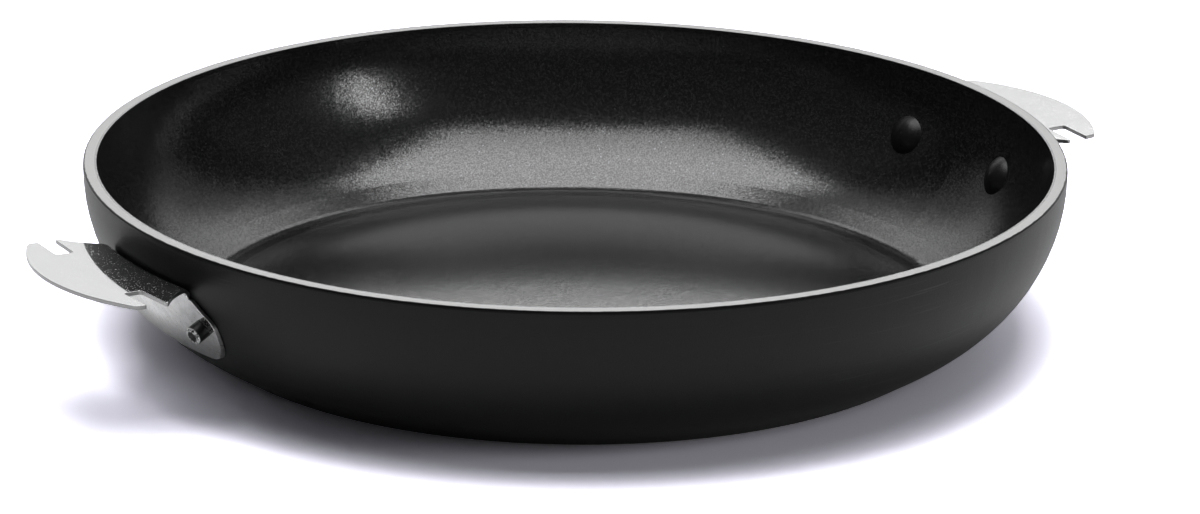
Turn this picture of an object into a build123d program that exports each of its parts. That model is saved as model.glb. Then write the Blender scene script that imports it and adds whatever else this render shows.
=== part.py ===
from build123d import *
from math import asin, cos, degrees, pi, radians, sin, tan
import os

# A 28 cm frying pan of pressed aluminium, in millimetres: Z is up, the pan stands on Z = 0 and its axis is Z.
# A magnetic steel disc is pressed into the underside. Two bent steel ears lie along X, each held to the
# wall by two rivets, and their slotted ends take a lift-off handle.

# Pan
RIM_RADIUS = 140.0       # outside of the rim
PAN_HEIGHT = 49.4        # ground to rim
WALL = 3.8               # thickness of the side wall
FOOT_RADIUS = 108.3      # where the flared side starts
FLARE_SLOPE = 31.4       # degrees, rise of the side where it leaves the foot
RIM_BAND = 1.5           # upright band below the rim
RIM_ROUND = 0.5          # outer edge of the rim
FLOOR_TOP = 5.0          # ground to cooking surface
FLOOR_ROUND = 6.0        # between the cooking surface and the side

# Base disc
DISC_RADIUS = 107.0
DISC_THICKNESS = 1.6
DISC_PROUD = 0.8         # how far it stands below the pan's underside
DISC_CLEARANCE = 0.1
DISC_CHAMFER = 0.3
GROOVE_COUNT = 5         # turned rings that let the disc expand
GROOVE_PITCH = 18.0
GROOVE_WIDTH = 1.6
GROOVE_DEPTH = 0.4

# Ears, bent from sheet
SHEET = 1.2
EAR_DROP = 9.95          # rim down to the plate's top, at the bend
EAR_RISE = 2.0           # degrees, the plate rises outward
BEND_RADIUS = 2.4        # inside of the bend
EAR_REACH = 29.0         # rim to the plate's outer edge
EAR_ARC = 56.0           # radius of the outer edge
PRONG_HALF = 31.9        # centre line to the end of the outer prong
PRONG_ROUND = 2.3        # outer corner of the outer prong
INNER_PRONG_HALF = 33.5  # centre line to the point of the inner prong, before its rounding
SLOT_START = 11.0        # rim to the slot
SLOT_WIDTH = 5.5
SLOT_HALF = 19.6         # centre line to the slot's closed end
SLOT_TURN = 3.5          # degrees, the slot's open end leans towards the pan
SLOT_ROUND = 1.0
TIP_ROUND = 0.6          # corners of the prongs at the slot
NECK_HALF = 23.4         # half width where plate and flange join
RELIEF_ARC = 30.0        # hollow edge between the neck and the inner prong
EAR_SEAT = 0.1           # gap between the flange and the wall

# Rivets
RIVET_DROP = 21.5        # rim down to where the rivet's axis leaves the wall
RIVET_SPREAD = 48.2      # between the two rivets of an ear
SHANK_RADIUS = 2.2
SHANK_CLEARANCE = 0.1
HEAD_RADIUS = 6.2
HEAD_HEIGHT = 2.6
TAIL_RADIUS = 2.7
TAIL_LENGTH = 3.8
TAIL_CHAMFER = 0.4
DISH_RADIUS = 1.7        # hollow in the end of the tail
DISH_DEPTH = 0.8
RIVET_SEAT = 0.05
LOBE_MARGIN = 5.7        # flange beyond the rivets, sideways
LOBE_DROP = 11.6         # flange below the rivets
LOBE_ROUND = 11.6        # lower corners of the flange
SHOULDER_RISE = 2.4      # flange's full width ends this far above the rivets
SHOULDER_ROUND = 4.0
ROUND_SPARE = 1.04       # straight left for a rounding, over the length that it takes

# The outer side leaves the foot as a cone and bends into the upright rim in one arc that touches both. The cone
# is long enough for the rounding between the cooking surface and the side.
slope = radians(FLARE_SLOPE)
cone_top = DISC_PROUD + (RIM_RADIUS - FOOT_RADIUS) * tan(slope)
floor_corner = (FLOOR_TOP - DISC_PROUD - WALL * cos(slope)) / sin(slope)
cone_run = floor_corner + ROUND_SPARE * FLOOR_ROUND * tan(slope / 2)
upper_run = PAN_HEIGHT - RIM_BAND - cone_top
lower_run = (RIM_RADIUS - FOOT_RADIUS) / cos(slope) - max(cone_run, 0)
flare_run = min(upper_run, lower_run)
flare_radius = flare_run / tan((pi / 2 - slope) / 2)
flare_x = RIM_RADIUS - flare_radius
flare_z = cone_top + flare_run

# Heights of the line that the ears are bent round, and of where a rivet's axis leaves the wall
bend_z = PAN_HEIGHT - EAR_DROP - SHEET - BEND_RADIUS
rivet_z = PAN_HEIGHT - RIVET_DROP


def side_at(height, offset=0):
    """Radius of the outer side, moved outward by an offset, at a height, and how far its face tilts down there."""
    bow = flare_radius + offset
    drop = max(flare_z - height, 0)
    tilt = asin(min(drop / bow, cos(slope)))
    return flare_x + bow * cos(tilt) - (drop - bow * sin(tilt)) / tan(slope), tilt


# Each rivet stands square to the wall
rivet_x, rivet_tilt = side_at(rivet_z)
rivet_turn = degrees(asin(RIVET_SPREAD / 2 / rivet_x))


def turned(section):
    """A section drawn as (radius, height), turned once round the pan's axis."""
    return revolve(Plane.XZ * section, Axis.Z)


def above(height):
    """Section of all that lies higher than a height."""
    width, depth = 2 * RIM_RADIUS, 2 * PAN_HEIGHT
    return Pos(width / 2, height + depth / 2) * Rectangle(width, depth)


def inside(offset):
    """Section of the space within the pan's outer side moved inward by an offset, from far below to the rim."""
    radius = flare_radius - offset
    start = Vector(flare_x + radius * sin(slope), flare_z - radius * cos(slope))
    low = start - Vector(1 / tan(slope), 1) * (start.Y + WALL + DISC_THICKNESS)
    side = Line(low, start)
    side += CenterArc((flare_x, flare_z), radius, FLARE_SLOPE - 90, 90 - FLARE_SLOPE)
    side += Polyline((RIM_RADIUS - offset, flare_z), (RIM_RADIUS - offset, PAN_HEIGHT), (0, PAN_HEIGHT), (0, low.Y), low)
    return make_face(side)


def nearest(section, x, y):
    """The corner of a sketch that lies nearest a point."""
    return section.vertices().sort_by_distance((x, y, 0))[0]


def rivet_places():
    """Turns that carry an ear's rivet pair to its azimuths."""
    return [Rot(0, 0, turn) for turn in (rivet_turn, -rivet_turn)]


def rivet_axis():
    """Plane on the wall's outside at +X, facing out along a rivet."""
    return Plane((rivet_x, 0, rivet_z), (0, 1, 0), (cos(rivet_tilt), 0, -sin(rivet_tilt)))


def rivet_holes():
    """The bores of one ear's rivets, through wall and flange."""
    length = 4 * (WALL + SHEET)
    bore = rivet_axis() * Cylinder(SHANK_RADIUS + SHANK_CLEARANCE, length)
    return [place * bore for place in rivet_places()]


def pan_body():
    """Floor and side wall in one turned form, with the disc's recess below and four rivet bores."""
    section = inside(0) & above(DISC_PROUD)
    section -= inside(WALL) & above(FLOOR_TOP)
    recess_width = 2 * (DISC_RADIUS + DISC_CLEARANCE)
    section -= Rectangle(recess_width, 2 * DISC_THICKNESS)
    section = fillet(nearest(section, RIM_RADIUS, PAN_HEIGHT), RIM_ROUND)
    section = fillet(nearest(section, FOOT_RADIUS, FLOOR_TOP), FLOOR_ROUND)
    body = turned(section)
    for hole in rivet_holes():
        body -= hole
        body -= Rot(0, 0, 180) * hole
    return body


def base_disc():
    """Steel disc with a broken lower edge and turned rings in its face."""
    section = Pos(DISC_RADIUS / 2, DISC_THICKNESS / 2) * Rectangle(DISC_RADIUS, DISC_THICKNESS)
    section = chamfer(nearest(section, DISC_RADIUS, 0), DISC_CHAMFER)
    for ring in range(1, GROOVE_COUNT + 1):
        section -= Pos(ring * GROOVE_PITCH, 0) * Rectangle(GROOVE_WIDTH, 2 * GROOVE_DEPTH)
    return turned(section)


def ear_section():
    """The bent sheet's section: a flange that follows the wall, the bend, and the plate."""
    bend_x, tilt = side_at(bend_z, EAR_SEAT + SHEET + BEND_RADIUS)
    bend = Pos(bend_x, bend_z)
    deep = 2 * PAN_HEIGHT
    flange = inside(-EAR_SEAT - SHEET) - inside(-EAR_SEAT)
    flange &= bend * Rot(0, 0, -degrees(tilt)) * Pos(0, -deep / 2) * Rectangle(deep, deep)
    ring = Circle(BEND_RADIUS + SHEET) - Circle(BEND_RADIUS)
    reach = 2 * (BEND_RADIUS + SHEET)
    start, end = pi - tilt, pi / 2 + radians(EAR_RISE)
    corners = [(reach * cos(turn), reach * sin(turn)) for turn in (start, (start + end) / 2, end)]
    ring &= make_face(Polyline((0, 0), *corners, close=True))
    plate = Pos(EAR_REACH, BEND_RADIUS + SHEET / 2) * Rectangle(2 * EAR_REACH, SHEET)
    return flange + bend * (ring + Rot(0, 0, EAR_RISE) * plate)


def plate_outline():
    """Plan of the plate: a round outer edge, two prongs at each end with a slot between them, and a neck."""
    slot_x = RIM_RADIUS + SLOT_START
    arc_x = RIM_RADIUS + EAR_REACH - EAR_ARC
    lean = tan(radians(SLOT_TURN))
    neck = Vector(RIM_RADIUS - EAR_SEAT, NECK_HALF)
    point = Vector(slot_x - (INNER_PRONG_HALF - SLOT_HALF) * lean, INNER_PRONG_HALF)
    end = Vector(slot_x + SLOT_WIDTH - (PRONG_HALF - SLOT_HALF) * lean, PRONG_HALF)
    chord = point - neck
    away = Vector(-chord.Y, chord.X).normalized() * (RELIEF_ARC**2 - (chord.length / 2) ** 2) ** 0.5
    relief = (neck + point) / 2 + away
    plan = Pos(arc_x, 0) * Circle(EAR_ARC)
    plan &= Pos(slot_x, 0) * Rectangle(2 * EAR_REACH + 2 * SLOT_START, 2 * INNER_PRONG_HALF)
    for side in (1, -1):
        slot = Pos(0, side * PRONG_HALF) * Rectangle(SLOT_WIDTH, 2 * PRONG_HALF)
        slot = fillet(slot.vertices(), SLOT_ROUND)
        plan -= Pos(slot_x + SLOT_WIDTH / 2, side * SLOT_HALF) * Rot(0, 0, side * SLOT_TURN) * slot
        plan -= Pos(end.X + EAR_REACH - SLOT_WIDTH / 2, side * 2 * PRONG_HALF) * Rectangle(2 * EAR_REACH, 2 * PRONG_HALF)
        plan -= Pos(relief.X, side * relief.Y) * Circle(RELIEF_ARC)
        plan -= Pos(neck.X - EAR_REACH, side * (NECK_HALF + EAR_REACH / 2)) * Rectangle(2 * EAR_REACH, EAR_REACH)
        plan = fillet(nearest(plan, arc_x + (EAR_ARC**2 - PRONG_HALF**2) ** 0.5, side * PRONG_HALF), PRONG_ROUND)
        plan = fillet(nearest(plan, end.X, side * end.Y), TIP_ROUND)
        plan = fillet(nearest(plan, point.X, side * point.Y), TIP_ROUND)
    return plan


def flange_outline():
    """Elevation of the flange, drawn as (y, z): a neck above, widening to a lobe round each rivet."""
    half = RIVET_SPREAD / 2 + LOBE_MARGIN
    low, shoulder = rivet_z - LOBE_DROP, rivet_z + SHOULDER_RISE
    right = [(0, low), (half, low), (half, shoulder), (NECK_HALF, bend_z), (NECK_HALF, PAN_HEIGHT), (0, PAN_HEIGHT)]
    outline = make_face(Polyline(*right, close=True))
    straight = shoulder - low - SHOULDER_ROUND * tan(pi / 8)
    outline = fillet(nearest(outline, half, low), min(LOBE_ROUND, straight / ROUND_SPARE))
    outline = fillet(nearest(outline, half, shoulder), SHOULDER_ROUND)
    return outline + mirror(outline, Plane.YZ)


def ear():
    """The ear at +X."""
    sheet = turned(ear_section())
    deep = 2 * PAN_HEIGHT
    plate = Pos(0, 0, bend_z) * extrude(plate_outline(), deep)
    flange = extrude(Plane.YZ * flange_outline(), RIM_RADIUS + EAR_REACH)
    flange &= Pos(RIM_RADIUS, 0, bend_z - deep / 2) * Box(2 * RIM_RADIUS, 2 * RIM_RADIUS, deep)
    piece = sheet & (plate + flange)
    for hole in rivet_holes():
        piece -= hole
    return piece


def rivet():
    """One rivet on the +X axis: low domed head inside the pan, shank, and an upset tail with a dished end."""
    axis = rivet_axis()
    flange_face = EAR_SEAT + SHEET
    ball = (HEAD_RADIUS**2 + HEAD_HEIGHT**2) / (2 * HEAD_HEIGHT)
    head = Pos(0, 0, ball - WALL - HEAD_HEIGHT) * Sphere(ball)
    head &= Pos(0, 0, -WALL - HEAD_HEIGHT / 2) * Cylinder(HEAD_RADIUS, 2 * HEAD_HEIGHT)
    head = (axis * head) & turned(inside(WALL + RIVET_SEAT))
    shank_length = WALL + flange_face + HEAD_HEIGHT / 2 + TAIL_LENGTH / 2
    shank = Pos(0, 0, flange_face + TAIL_LENGTH / 2 - shank_length / 2) * Cylinder(SHANK_RADIUS, shank_length)
    tail = Cylinder(TAIL_RADIUS, 2 * TAIL_LENGTH)
    tail = chamfer(tail.edges().group_by(Axis.Z)[-1], TAIL_CHAMFER)
    tail -= Pos(0, 0, TAIL_LENGTH - DISH_DEPTH / 2) * Cone(DISH_RADIUS / 2, DISH_RADIUS, DISH_DEPTH)
    tail = axis * (Pos(0, 0, flange_face) * tail) - turned(inside(-flange_face - RIVET_SEAT))
    return head + axis * shank + tail


def save(node, shape):
    """Writes one piece to its own file."""
    shape.label = node
    export_step(shape, f"parts/{node}.step")


def main():
    os.makedirs("parts", exist_ok=True)
    save("pan_body", pan_body())
    save("base_disc", base_disc())
    save("ear_right", ear())
    save("ear_left", Rot(0, 0, 180) * ear())
    rear, front = [place * rivet() for place in rivet_places()]
    save("rivet_right_rear", rear)
    save("rivet_right_front", front)
    save("rivet_left_front", Rot(0, 0, 180) * rear)
    save("rivet_left_rear", Rot(0, 0, 180) * front)


main()
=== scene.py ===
import math

import bmesh
import bpy
import numpy as np
from mathutils import Matrix, Vector
from mathutils.bvhtree import BVHTree


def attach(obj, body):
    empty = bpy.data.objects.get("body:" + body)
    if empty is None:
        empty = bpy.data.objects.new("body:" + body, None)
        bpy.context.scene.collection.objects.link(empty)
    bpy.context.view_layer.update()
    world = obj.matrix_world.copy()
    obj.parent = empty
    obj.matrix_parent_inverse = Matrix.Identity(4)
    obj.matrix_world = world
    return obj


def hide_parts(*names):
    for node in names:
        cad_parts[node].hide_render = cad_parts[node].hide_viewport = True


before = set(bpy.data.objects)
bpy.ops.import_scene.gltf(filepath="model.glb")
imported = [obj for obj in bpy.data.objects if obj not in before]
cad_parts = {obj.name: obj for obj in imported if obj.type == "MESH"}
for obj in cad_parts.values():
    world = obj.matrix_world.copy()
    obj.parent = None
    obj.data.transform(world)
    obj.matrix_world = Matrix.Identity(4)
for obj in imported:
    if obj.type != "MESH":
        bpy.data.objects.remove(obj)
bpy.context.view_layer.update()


# The pan's body
# Pressed aluminium, blasted and coated black inside and outside, fired, and then turned bare on top of the
# rim. The coating carries fine flakes that sparkle where a lamp is mirrored.

class Wire:
    """The value of one socket in a material. Sums and products of wires add Math nodes."""

    def __init__(self, tree, socket=None):
        self.tree = tree
        self.socket = socket

    def add(self, kind, settings=None, inputs=None, out=0):
        """Adds a node, sets it up, feeds its sockets with numbers or wires, and gives one of its outputs."""
        node = self.tree.nodes.new(kind)
        for name, setting in (settings or {}).items():
            setattr(node, name, setting)
        for name, value in (inputs or {}).items():
            self.feed(node.inputs[name], value)
        return Wire(self.tree, node.outputs[out])

    def feed(self, target, value):
        """Links a wire to a socket, or sets the socket to a number or a colour."""
        if isinstance(value, Wire):
            self.tree.links.new(value.socket, target)
        elif target.type == "RGBA":
            target.default_value = (*value, 1)
        else:
            target.default_value = value

    def math(self, operation, *values):
        """A Math node on numbers and wires."""
        return self.add("ShaderNodeMath", {"operation": operation}, dict(enumerate(values)))

    def vector(self, operation, inputs):
        """A Vector Math node, for places, normals and colours."""
        return self.add("ShaderNodeVectorMath", {"operation": operation}, inputs)

    def __add__(self, other):
        return self.math("ADD", self, other)

    def __sub__(self, other):
        return self.math("SUBTRACT", self, other)

    def __rsub__(self, other):
        return self.math("SUBTRACT", other, self)

    def __mul__(self, other):
        return self.math("MULTIPLY", self, other)

    __radd__ = __add__
    __rmul__ = __mul__

    def step(self, low, high):
        """0 below low, 1 above high, smooth between them. The two may be in falling order."""
        settings = {"interpolation_type": "SMOOTHSTEP"}
        return self.add("ShaderNodeMapRange", settings, {"Value": self, "From Min": low, "From Max": high})


MIX_COLOURS = (6, 7, 2)      # places of the two colour inputs and the colour output of a Mix node


def blend(wire, share, first, second):
    """One colour turning into another as the share goes from 0 to 1."""
    start, end, out = MIX_COLOURS
    return wire.add("ShaderNodeMix", {"data_type": "RGBA"}, {0: share, start: first, end: second}, out)


def noise(wire, place, scale, detail, roughness=0.5):
    """Cloudy noise from 0 to 1, finer as its scale goes up."""
    inputs = {"Vector": place, "Scale": scale, "Detail": detail, "Roughness": roughness}
    return wire.add("ShaderNodeTexNoise", inputs=inputs)


def bump(wire, height, strength, distance):
    """A normal that follows a height, which counts in units of the distance."""
    return wire.add("ShaderNodeBump", inputs={"Strength": strength, "Distance": distance, "Height": height})


def principled(wire, inputs):
    """A surface shader with the given sockets."""
    return wire.add("ShaderNodeBsdfPrincipled", inputs=inputs, out="BSDF")


def finish_named(name):
    """An empty material: a wire to build on, and where each point lies, in metres."""
    material = bpy.data.materials.new(name)
    material.use_nodes = True
    material.node_tree.nodes.clear()
    wire = Wire(material.node_tree)
    return material, wire, wire.add("ShaderNodeTexCoord", out="Object")


def finish(wire, shader, end="ShaderNodeOutputMaterial"):
    """Ends a material, or the world, in its surface shader."""
    output = wire.tree.nodes.new(end)
    wire.feed(output.inputs["Surface"], shader)


def apart(wire, place):
    """The three coordinates of a point, and its distance from the pan's axis."""
    split = wire.add("ShaderNodeSeparateXYZ", inputs={"Vector": place})
    x, y, z = (Wire(wire.tree, split.socket.node.outputs[axis]) for axis in "XYZ")
    return x, y, z, wire.math("SQRT", x * x + y * y)


RIM_TOP = 0.0494
BARE_OUTER = 0.1395          # outer and inner edge of the ring turned bare on the rim
BARE_INNER = 0.1367
BARE_SOFT = 0.0001
BARE_DEPTH = (0.00016, 0.00006)      # below the rim's top, where the turned ring starts
LIP_DEPTH = (0.0011, 0.0007)         # the same, where the outside turns darker
WEAR_SCALE = 380.0
WEAR = 0.0007                # how far the ring's outer edge wanders
FLARE_X = 0.09055            # centre of the arc that the outer side follows, as radius and height
FLARE_Z = 0.0479
WALL_MIDDLE = 0.0475         # from that centre to the middle of the wall
WALL_SOFT = 0.0002
RING = 0.1024                # where the smoother cooking surface ends in a faint pale line
RING_END = 0.1066            # outer edge of the darker band beyond the line
LINE_RISE = 0.0005
LINE_FALL = (0.0006, 0.0001)
BAND_SOFT = 0.0008
FLOOR_TURNS_UP = (0.098, 0.112)      # distance from the axis where the floor bends into the side
FLAKES_RISE = (0.095, 0.110)         # the same, where the flakes reach their full tilt
FLAKE_TILT = 0.026           # how far the flakes lie out of the surface, at most, as a slope
FLOOR_TILT = 0.38            # share of that tilt on the floor
GRAIN_SCALE = 2100.0
DULL_SCALE = 2400.0
CELL_SCALE = 2600.0
FLAKE_CELLS = (0.985, 0.995) # of the cells, the share above which they carry a bright flake
PALE_CELLS = (0.35, 1.0)     # the same, a pale speck
DULL_DARK = 0.38             # how much of the mirror the dull spots and the band take away
BAND_DARK = 0.55
GLOSS_INSIDE = 0.115         # roughness
MATT_OUTSIDE = 0.40
BARE_GLOSS = 0.10            # by how much the bare metal is smoother than the coating outside
GRAIN_INSIDE = 0.00003       # height of the grain
GRAIN_OUTSIDE = 0.00006
STREAKS = (26, 26, 1900)     # rubbing marks run round the pan
PATCH_SCALE = 22.0
COAT = (0.0066, 0.0066, 0.0069)
COAT_PALE = (0.0280, 0.0280, 0.0290)
SCUFF = (0.026, 0.026, 0.026)
COAT_OUTSIDE = (0.0065, 0.0065, 0.0069)
FLAKE = (0.11, 0.11, 0.115)
BARE = (0.190, 0.189, 0.188)


def tilted(wire, cells, normal, share):
    """A normal turned a little another way in each cell, as the flakes in the lacquer lie."""
    lean = wire.vector("MULTIPLY_ADD", {0: cells, 1: (2 * FLAKE_TILT,) * 3, 2: (-FLAKE_TILT,) * 3})
    lean = wire.vector("SCALE", {0: lean, "Scale": share})
    return wire.vector("NORMALIZE", {0: wire.vector("ADD", {0: lean, 1: normal})})


def coating():
    """Black non-stick coating, glossy inside and matt outside, with the rim turned bare.

    A point is inside the pan where it lies nearer to the arc's centre than the middle of the wall does."""
    material, wire, place = finish_named("pan_coating")
    *_, z, radius = apart(wire, place)
    across = wire.math("MAXIMUM", radius - FLARE_X, 0.0)
    drop = FLARE_Z - z
    from_centre = wire.math("SQRT", across * across + drop * drop)
    inside = from_centre.step(WALL_MIDDLE + WALL_SOFT, WALL_MIDDLE - WALL_SOFT)
    wear = noise(wire, place, WEAR_SCALE, 2.0) * WEAR - WEAR / 2
    top = z.step(RIM_TOP - BARE_DEPTH[0], RIM_TOP - BARE_DEPTH[1])
    bare = top * (radius + wear).step(BARE_OUTER + BARE_SOFT, BARE_OUTER - BARE_SOFT)
    bare = bare * radius.step(BARE_INNER - BARE_SOFT, BARE_INNER + BARE_SOFT)

    grain = noise(wire, place, GRAIN_SCALE, 1.5)
    dull = noise(wire, place, DULL_SCALE, 1.0).step(0.36, 0.66)
    cells = wire.add("ShaderNodeTexVoronoi", inputs={"Vector": place, "Scale": CELL_SCALE}, out="Color")
    flake = wire.add("ShaderNodeSeparateColor", inputs={"Color": cells}).step(*FLAKE_CELLS)
    speckle = wire.add("ShaderNodeSeparateColor", inputs={"Color": cells}, out="Green").step(*PALE_CELLS)
    line = radius.step(RING - LINE_RISE, RING) * radius.step(RING + LINE_FALL[0], RING + LINE_FALL[1])
    band = radius.step(RING, RING + BAND_SOFT) * radius.step(RING_END, RING_END - BAND_SOFT)
    paint = blend(wire, wire.math("MAXIMUM", speckle, line), COAT, COAT_PALE)
    dark = wire.math("MAXIMUM", dull * DULL_DARK, band * BAND_DARK)
    share = radius.step(*FLAKES_RISE) * (1 - FLOOR_TILT) + FLOOR_TILT
    inner = principled(wire, {
        "Base Color": blend(wire, flake, paint, FLAKE),
        "Metallic": wire.math("MAXIMUM", dark, flake),
        "Roughness": dull * 0.08 + radius.step(*FLOOR_TURNS_UP) * 0.03 + GLOSS_INSIDE,
        "Specular IOR Level": 1.0,
        "Normal": tilted(wire, cells, bump(wire, grain * 0.5, 1.0, GRAIN_INSIDE), share)})

    streaks = noise(wire, wire.vector("MULTIPLY", {0: place, 1: STREAKS}), 1.0, 2.0).step(0.62, 0.74)
    patches = noise(wire, place, PATCH_SCALE, 1.0).step(0.50, 0.66)
    matt = blend(wire, streaks * patches, COAT_OUTSIDE, SCUFF)
    lip = z.step(RIM_TOP - LIP_DEPTH[0], RIM_TOP - LIP_DEPTH[1]) * 0.75
    outer = principled(wire, {
        "Base Color": blend(wire, bare, matt, BARE),
        "Metallic": wire.math("MAXIMUM", bare, lip),
        "Roughness": grain * 0.08 + MATT_OUTSIDE - bare * BARE_GLOSS,
        "Specular IOR Level": 0.17,
        "Normal": bump(wire, grain, 0.7, GRAIN_OUTSIDE)})
    finish(wire, wire.add("ShaderNodeMixShader", inputs={0: inside * (1 - bare), 1: outer, 2: inner}))
    return material


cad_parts["pan_body"].material_slots[0].material = coating()


# The base disc
# Magnetic steel, turned on a lathe and pressed into the underside, with rings that let it expand.

TURNED_SCALE = 9000.0
TURNED_DEPTH = 0.00005
DISC_DARK = (0.36, 0.35, 0.34)
DISC_PALE = (0.56, 0.55, 0.53)


def turned_steel():
    """Bare steel whose colour, gloss and height change with the distance from the axis alone."""
    material, wire, place = finish_named("disc_steel")
    radius = apart(wire, place)[3]
    inputs = {"W": radius, "Scale": TURNED_SCALE, "Detail": 3.0}
    rings = wire.add("ShaderNodeTexNoise", {"noise_dimensions": "1D"}, inputs)
    finish(wire, principled(wire, {
        "Base Color": blend(wire, rings, DISC_DARK, DISC_PALE),
        "Metallic": 1.0,
        "Roughness": rings * 0.2 + 0.28,
        "Normal": bump(wire, rings, 0.4, TURNED_DEPTH)}))
    return material


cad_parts["base_disc"].material_slots[0].material = turned_steel()


# The two ears
# Stainless sheet, stamped, bent and tumbled to a soft polish that rounds the edges.
# Each is riveted to the wall.

EDGE_ROUND = 0.00018
EDGE_STEPS = 3
EDGE_SHARP = math.radians(35)        # corners sharper than this are rounded
FLAT = math.radians(0.4)             # triangles that meet at less than this are one face
JOIN = 1e-6
SHEET_MOST = 0.0016          # thicker than the sheet: a face with more steel behind it is a cut edge
RAY_LIFT = 1e-5
BEND_HEIGHT = (0.034, 0.038) # between the flange and the plate
CLOUD_SCALE = 160.0
SMUDGE_SCALE = 330.0
DUST_SCALE = 2300.0
SHEET = (0.512, 0.512, 0.516)
SHEET_SMUDGED = (0.43, 0.43, 0.433)
SHEARED = (0.27, 0.27, 0.27)


def polished_sheet():
    """Polished, with a thin film of dust on top, smudges on the flange, and sheared grey edges."""
    material, wire, place = finish_named("ear_steel")
    z = apart(wire, place)[2]
    cut = wire.add("ShaderNodeAttribute", {"attribute_name": "cut"}, out="Fac")
    cloud = noise(wire, place, CLOUD_SCALE, 4.0)
    smudge = noise(wire, place, SMUDGE_SCALE, 5.0, 0.6).step(0.38, 0.62) * z.step(*reversed(BEND_HEIGHT))
    dust = noise(wire, place, DUST_SCALE, 1.0).step(0.60, 0.76)
    gloss = cloud * 0.04 + 0.02 + smudge * 0.10 + dust * 0.3
    finish(wire, principled(wire, {
        "Base Color": blend(wire, cut, blend(wire, smudge, SHEET, SHEET_SMUDGED), SHEARED),
        "Metallic": 0.965 - dust * 0.30,
        "Roughness": wire.math("MAXIMUM", cut * 0.36, gloss)}))
    return material


def tumbled(name):
    """A copy of a stamped piece: its loose triangles joined, its flats made whole and its edges rounded."""
    shape = bmesh.new()
    shape.from_mesh(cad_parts[name].data)
    bmesh.ops.remove_doubles(shape, verts=shape.verts, dist=JOIN)
    bmesh.ops.dissolve_limit(shape, angle_limit=FLAT, verts=shape.verts, edges=shape.edges)
    shape.verts.index_update()
    shape.normal_update()
    solid = BVHTree.FromBMesh(shape)
    starts = [face.calc_center_median_weighted() - face.normal * RAY_LIFT for face in shape.faces]
    behind = [solid.ray_cast(start, -face.normal)[3] or 0 for start, face in zip(starts, shape.faces)]
    mesh = bpy.data.meshes.new(f"{name}_sheet")
    points = [corner.co.copy() for corner in shape.verts]
    mesh.from_pydata(points, [], [[corner.index for corner in face.verts] for face in shape.faces])
    shape.free()
    cut = mesh.attributes.new("cut", "FLOAT", "FACE")
    cut.data.foreach_set("value", [float(depth > SHEET_MOST) for depth in behind])
    mesh.shade_smooth()
    piece = bpy.data.objects.new(f"{name}_sheet", mesh)
    bpy.context.scene.collection.objects.link(piece)
    rounding = piece.modifiers.new("edges", "BEVEL")
    rounding.width = EDGE_ROUND
    rounding.segments = EDGE_STEPS
    rounding.limit_method = "ANGLE"
    rounding.angle_limit = EDGE_SHARP
    rounding.use_clamp_overlap = False
    rounding.harden_normals = True
    return piece


ear_steel = polished_sheet()
for side in ("left", "right"):
    sheet = tumbled(f"ear_{side}")
    sheet.data.materials.append(ear_steel)
    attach(sheet, "root")
    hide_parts(f"ear_{side}")


# The four rivets
# Solid aluminium, coated with the pan. Each has a low head inside and an upset tail outside,
# whose ring is worn bare.

RIVET_RADIUS = 0.13577       # from the pan's axis to where a rivet leaves the wall
RIVET_HEIGHT = 0.0279
RIVET_TURN = math.radians(10.22)
RIVET_TILT = math.radians(23.86)
TAIL_END = 0.0051            # from the wall to the end of the tail
TAIL_WORN = (0.0008, 0.0003) # before the end of the tail, where the wear starts
TAIL_RIM = 0.0017            # inner radius of the tail's ring
TAIL_SOFT = 0.0001
COAT_SCALE = 1500.0
CHIP_SCALE = 1300.0
COAT_DEPTH = 0.0001
RIVET_BLACK = (0.004, 0.004, 0.0045)
RIVET_PALE = (0.010, 0.010, 0.0105)
RIVET_BARE = (0.62, 0.62, 0.62)


def rivet_finish():
    """Black coating, worn off the ring at the tail's end.

    The four rivets mirror each other, so the sizes of x and y carry every point to one rivet's own axis."""
    material, wire, place = finish_named("rivet_coating")
    x, y, z, _ = apart(wire, place)
    x, y = wire.math("ABSOLUTE", x), wire.math("ABSOLUTE", y)
    out = x * math.cos(RIVET_TURN) + y * math.sin(RIVET_TURN) - RIVET_RADIUS
    across = y * math.cos(RIVET_TURN) - x * math.sin(RIVET_TURN)
    up = z - RIVET_HEIGHT
    along = out * math.cos(RIVET_TILT) - up * math.sin(RIVET_TILT)
    lift = out * math.sin(RIVET_TILT) + up * math.cos(RIVET_TILT)
    off = wire.math("SQRT", across * across + lift * lift)
    grain = noise(wire, place, COAT_SCALE, 2.0)
    patchy = noise(wire, place, CHIP_SCALE, 2.0).step(0.42, 0.56)
    tip = along.step(TAIL_END - TAIL_WORN[0], TAIL_END - TAIL_WORN[1])
    worn = tip * off.step(TAIL_RIM - TAIL_SOFT, TAIL_RIM + TAIL_SOFT) * patchy
    finish(wire, principled(wire, {
        "Base Color": blend(wire, worn, blend(wire, grain, RIVET_BLACK, RIVET_PALE), RIVET_BARE),
        "Metallic": worn,
        "Specular IOR Level": 0.35,
        "Roughness": grain * 0.2 + 0.24,
        "Normal": bump(wire, grain, 0.3, COAT_DEPTH)}))
    return material


rivet_coating = rivet_finish()
for side in ("left", "right"):
    for end in ("front", "rear"):
        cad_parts[f"rivet_{side}_{end}"].material_slots[0].material = rivet_coating


# The camera
# A long lens from a little above, with one ear to the left in front.

VIEW_TURN = math.radians(-31.8)      # the photograph's view direction, turned from +Y
CAMERA_BACK = 1.9587
CAMERA_HEIGHT = 0.6571
CAMERA_TILT = 0.3148
CAMERA_YAW = 0.0037
CAMERA_ROLL = 0.01023
SENSOR = 36
FOCAL_LENGTH = 216

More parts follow.
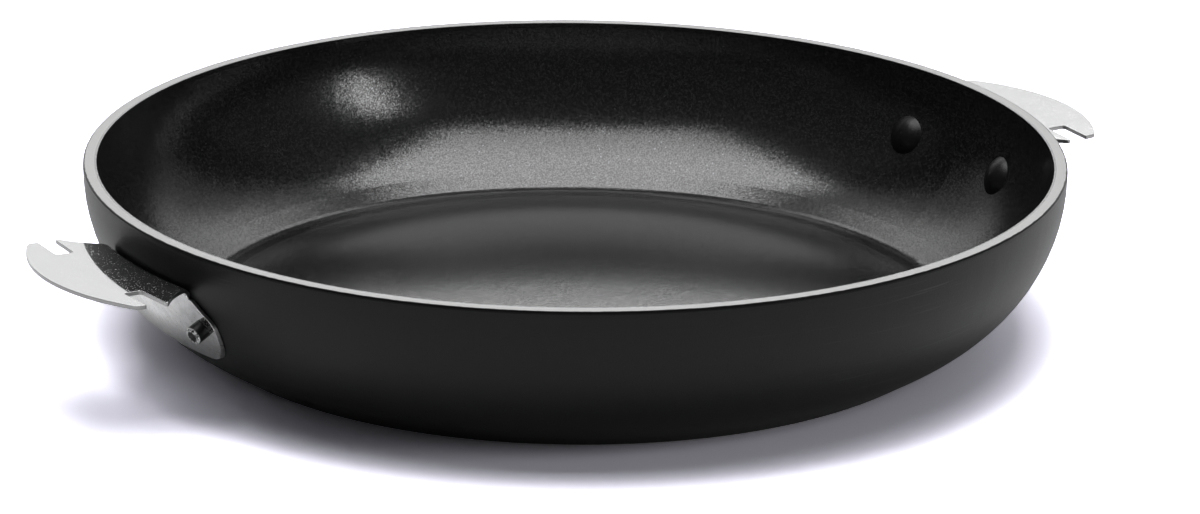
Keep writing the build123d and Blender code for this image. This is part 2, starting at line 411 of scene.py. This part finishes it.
studio = Matrix.Rotation(VIEW_TURN, 4, "Z")
lens = bpy.data.cameras.new("camera")
lens.sensor_width = SENSOR
lens.lens = FOCAL_LENGTH
lens.clip_start = 0.1
lens.clip_end = 60
camera = bpy.data.objects.new("camera", lens)
bpy.context.scene.collection.objects.link(camera)
stand = studio @ Matrix.Translation((0, -CAMERA_BACK, CAMERA_HEIGHT))
aim = Matrix.Rotation(-CAMERA_YAW, 4, "Z") @ Matrix.Rotation(math.pi / 2 - CAMERA_TILT, 4, "X")
camera.matrix_world = stand @ aim @ Matrix.Rotation(CAMERA_ROLL, 4, "Z")
bpy.context.scene.camera = camera


# The studio
# A pale floor, a bright backdrop behind, a large soft lamp overhead and a small one on the right. One more
# lamp shines up through an opening in the floor that the pan stands over, and shows the underside.

def lamp(name, place, target, size, radiance, shape="RECTANGLE"):
    """An area lamp that looks at a point. Its power follows from its size and radiance."""
    data = bpy.data.lights.new(name, "AREA")
    data.shape = shape
    data.size = size[0]
    data.size_y = size[1]
    area = size[0] * size[1] * (math.pi / 4 if shape == "ELLIPSE" else 1)
    data.energy = radiance * math.pi * area
    thing = bpy.data.objects.new(name, data)
    bpy.context.scene.collection.objects.link(thing)
    look = (Vector(target) - Vector(place)).to_track_quat("-Z", "Y").to_matrix().to_4x4()
    thing.matrix_world = studio @ Matrix.Translation(place) @ look
    thing.visible_camera = False


HIGHLIGHT = Vector((-0.064, 0.117, 0.032))       # where the strip lamp is mirrored in the wall
STRIP_WAY = Vector((0.770, -0.523, 0.366))
STRIP_AWAY = 1.6
STRIP_SIZE = (0.23, 0.90)
STRIP_LEVEL = 5.6
lamp("strip", HIGHLIGHT + STRIP_AWAY * STRIP_WAY, HIGHLIGHT, STRIP_SIZE, STRIP_LEVEL, "ELLIPSE")

UNDER_PLACE = (0, 0, -1.2)
UNDER_SIZE = (1.6, 1.2)
UNDER_LEVEL = 0.8
lamp("under", UNDER_PLACE, (0, 0, 0), UNDER_SIZE, UNDER_LEVEL)

# The room is dark to light and reflections, and white to the camera
DARK_ROOM = 0.05
WHITE = (1, 1, 1)
world = bpy.data.worlds.new("studio")
bpy.context.scene.world = world
world.use_nodes = True
world.node_tree.nodes.clear()
wire = Wire(world.node_tree)
to_camera = wire.add("ShaderNodeLightPath", out="Is Camera Ray")
room = wire.add("ShaderNodeBackground", inputs={"Color": WHITE, "Strength": DARK_ROOM})
white = wire.add("ShaderNodeBackground", inputs={"Color": WHITE, "Strength": 1.0})
shown = wire.add("ShaderNodeMixShader", inputs={0: to_camera, 1: room, 2: white})
finish(wire, shown, "ShaderNodeOutputWorld")


def stage_mesh(name, points, faces, material):
    """A piece of the studio, which isn't part of the object."""
    mesh = bpy.data.meshes.new(name)
    mesh.from_pydata(points, [], faces)
    mesh.materials.append(material)
    thing = bpy.data.objects.new(name, mesh)
    bpy.context.scene.collection.objects.link(thing)
    return thing


FLOOR_HALF = 12.0
PAPER = (0.85, 0.85, 0.86)
PAPER_SEEN = (0.90, 0.885, 1.0)
PAPER_GAIN = 1.25            # each of the two layers that the camera sees
PAPER_MIRRORED = 0.72        # the same, in reflections
# Painted shadow and painted light on the paper round the pan: darker near its foot, brighter in a ring just
# beyond its rim
PAINTED_SHADOW_EDGE = (0.133, 0.145)  # distance from the pan's axis where the painted shadow's core, paper painted darker, ends
PAINTED_LIGHT_FADE = (0.145, 0.168)  # the same, where the painted light, the paper's extra brightness beside the core, ends
PAINTED_LIGHT_GAIN = 0.4
PAINTED_SHADOW_LEVEL = 0.93
PAINTED_LIGHT_RETURN = 0.75          # share of the painted light that is lost again
UNDER_PAN = 0.105            # the floor is open inside this radius, which the pan hides from above
UNDER_SOFT = 0.001
POOL = (0.34, 0.60)          # distance from the axis where the lamp's pool of light gives way to white


def floor_paper():
    """White paper, brighter to the camera and in reflections than to other light, with a painted shadow near
    the pan and a painted lighter ring beyond it, and clear from below.
    """
    material, wire, place = finish_named("floor_paper")
    radius = apart(wire, place)[3]
    to_camera = wire.add("ShaderNodeLightPath", out="Is Camera Ray")
    to_gloss = wire.add("ShaderNodeLightPath", out="Is Glossy Ray")
    direct = wire.math("MAXIMUM", to_camera, to_gloss)
    lit = [PAPER_GAIN * part for part in PAPER_SEEN]
    mirrored = [PAPER_MIRRORED * part for part in PAPER]
    # painted shadow near the pan and a painted lighter ring beyond it, put into the paper's colour
    painted_shade_and_light = (radius.step(*PAINTED_SHADOW_EDGE) - radius.step(*PAINTED_LIGHT_FADE) * PAINTED_LIGHT_RETURN) * PAINTED_LIGHT_GAIN + PAINTED_SHADOW_LEVEL
    seen = wire.vector("SCALE", {0: blend(wire, to_gloss, lit, mirrored), "Scale": painted_shade_and_light})
    layer = wire.add("ShaderNodeBsdfDiffuse", inputs={"Color": seen})
    bright = wire.add("ShaderNodeAddShader", inputs={0: layer, 1: layer})
    paper = wire.add("ShaderNodeBsdfDiffuse", inputs={"Color": PAPER})
    near = wire.add("ShaderNodeMixShader", inputs={0: direct, 1: paper, 2: bright})
    far = wire.add("ShaderNodeEmission", inputs={"Color": WHITE, "Strength": 1.0})
    above = wire.add("ShaderNodeMixShader", inputs={0: radius.step(*POOL) * direct, 1: near, 2: far})
    clear = wire.add("ShaderNodeBsdfTransparent")
    below = to_camera * wire.add("ShaderNodeNewGeometry", out="Backfacing")
    below = wire.math("MAXIMUM", below, radius.step(UNDER_PAN + UNDER_SOFT, UNDER_PAN))
    finish(wire, wire.add("ShaderNodeMixShader", inputs={0: below, 1: above, 2: clear}))
    return material


corners = [(x * FLOOR_HALF, y * FLOOR_HALF, 0) for x, y in ((-1, -1), (1, -1), (1, 1), (-1, 1))]
stage_mesh("floor", corners, [(0, 1, 2, 3)], floor_paper())


def glowing(name, points, faces, level):
    """A sheet that only reflections and light see. The level is a function of its material's wires."""
    material, wire, place = finish_named(f"{name}_light")
    turn = {"Vector": place, "Angle": -VIEW_TURN}
    x, y, z, _ = apart(wire, wire.add("ShaderNodeVectorRotate", {"rotation_type": "Z_AXIS"}, turn))
    finish(wire, wire.add("ShaderNodeEmission", inputs={"Color": WHITE, "Strength": level(x, y, z)}))
    points = np.array(points) @ np.array(studio.to_3x3()).T
    sheet = stage_mesh(name, points.tolist(), faces, material)
    sheet.visible_camera = False
    return sheet


SOFT_X = (-0.552, 0.475)
SOFT_Y = (-0.41, 0.443)
SOFT_Z = 1.0
SOFT_LEVEL = 3.9
SOFT_FRONT = 0.68            # share of the light that is left at the front edge
SOFT_REST = 0.38             # added to it towards the back
SOFT_CORNER = 0.45           # what the front corner on the left loses


def softbox_level(x, y, z):
    """Dimmer towards the front edge, and more so in the front corner on the left."""
    corner = (1 - x.step(-0.62, -0.25)) * (1 - y.step(-0.35, 0.25))
    return (y.step(-0.45, 0.10) * SOFT_REST + SOFT_FRONT) * (1 - corner * SOFT_CORNER) * SOFT_LEVEL


corners = [(SOFT_X[i], SOFT_Y[j], SOFT_Z) for i, j in ((0, 0), (0, 1), (1, 1), (1, 0))]
glowing("softbox", corners, [(0, 1, 2, 3)], softbox_level)

BACKDROP_RADIUS = 2.6
BACKDROP_TOP = 3.8
BACKDROP_FADE = 0.7          # below its top, where it starts to turn dark
BACKDROP_LEVEL = 1.2
BACKDROP_TURNS = (15, 165)   # degrees, from the right end to the left one
BACKDROP_COLUMNS = 51
MIDDLE_LEVEL = 2.2


def backdrop_level(x, y, z):
    """Light spills sideways in two steps and grows upward, with a bright patch straight behind the pan."""
    sideways = y.step(1.75, 2.35) * 0.78 + y.step(1.2, 1.7) * 0.22
    upward = z.step(1.1, 2.2) * 0.46 + 1
    middle = y.step(2.35, 2.55) * z.step(0.92, 1.0) * z.step(1.6, 1.3)
    top = z.step(BACKDROP_TOP, BACKDROP_TOP - BACKDROP_FADE)
    return (sideways * upward + middle * MIDDLE_LEVEL) * top * BACKDROP_LEVEL


turns = np.radians(np.linspace(*BACKDROP_TURNS, BACKDROP_COLUMNS))
ring = BACKDROP_RADIUS * np.stack([np.cos(turns), np.sin(turns)], 1)
points = np.concatenate([np.column_stack([ring, np.full(len(ring), h)]) for h in (0.0, BACKDROP_TOP)])
faces = [(i, i + 1, i + 1 + len(ring), i + len(ring)) for i in range(len(ring) - 1)]
backdrop = glowing("backdrop", points, faces, backdrop_level)
backdrop.visible_shadow = False

bpy.context.scene.view_settings.view_transform = "Standard"
